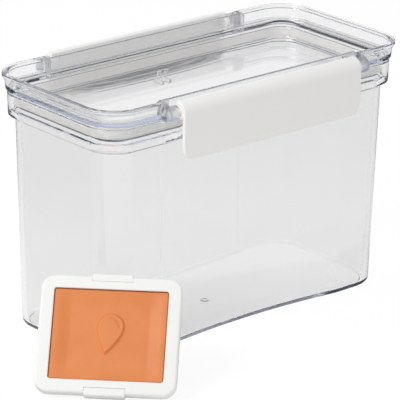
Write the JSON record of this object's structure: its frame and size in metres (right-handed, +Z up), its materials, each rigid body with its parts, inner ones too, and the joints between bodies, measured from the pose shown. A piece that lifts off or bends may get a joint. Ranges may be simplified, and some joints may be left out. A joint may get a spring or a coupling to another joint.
{
  "type": "pantry storage container",
  "caption": "Clear waisted storage tub with a recessed clear lid, a lid seal, wide hinged side latches and a framed clay insert that keeps sugar soft.",
  "frame": {"origin": "centre of the flat pad under the tub, on the surface it stands on", "axes": "+X along the tub's length, +Y to the back, +Z up"},
  "size_m": [0.263, 0.1599, 0.1456],
  "materials": {
    "tub_plastic": "clear moulded plastic, glossy",
    "lid_plastic": "clear moulded plastic, glossy",
    "seal_rubber": "translucent pale silicone",
    "latch_plastic": "white moulded plastic, satin",
    "frame_plastic": "white moulded plastic, satin",
    "clay": "unglazed fired clay, matte"
  },
  "bodies": {
    "container": {"container_body": "tub_plastic"},
    "lid": {"lid": "lid_plastic", "lid_seal": "seal_rubber"},
    "front_latch": {"front_latch": "latch_plastic"},
    "back_latch": {"back_latch": "latch_plastic"},
    "insert": {"insert_frame": "frame_plastic", "insert_back": "frame_plastic", "clay_tile": "clay"}
  },
  "joints": [
    {"name": "lid_lift", "type": "slide", "parent": "container", "child": "lid", "axis": [0, 0, 1], "range_m": [0, 0.06]},
    {"name": "front_latch_turn", "type": "hinge", "parent": "lid", "child": "front_latch", "pos_m": [0, -0.0543, 0.1396], "axis": [-1, 0, 0], "range_deg": [0, 95]},
    {"name": "back_latch_turn", "type": "hinge", "parent": "lid", "child": "back_latch", "pos_m": [0, 0.0543, 0.1396], "axis": [1, 0, 0], "range_deg": [0, 95]},
    {"name": "insert_pull", "type": "slide", "parent": "container", "child": "insert", "axis": [-0.7071, -0.7071, 0], "range_m": [0, 0.08]}
  ]
}
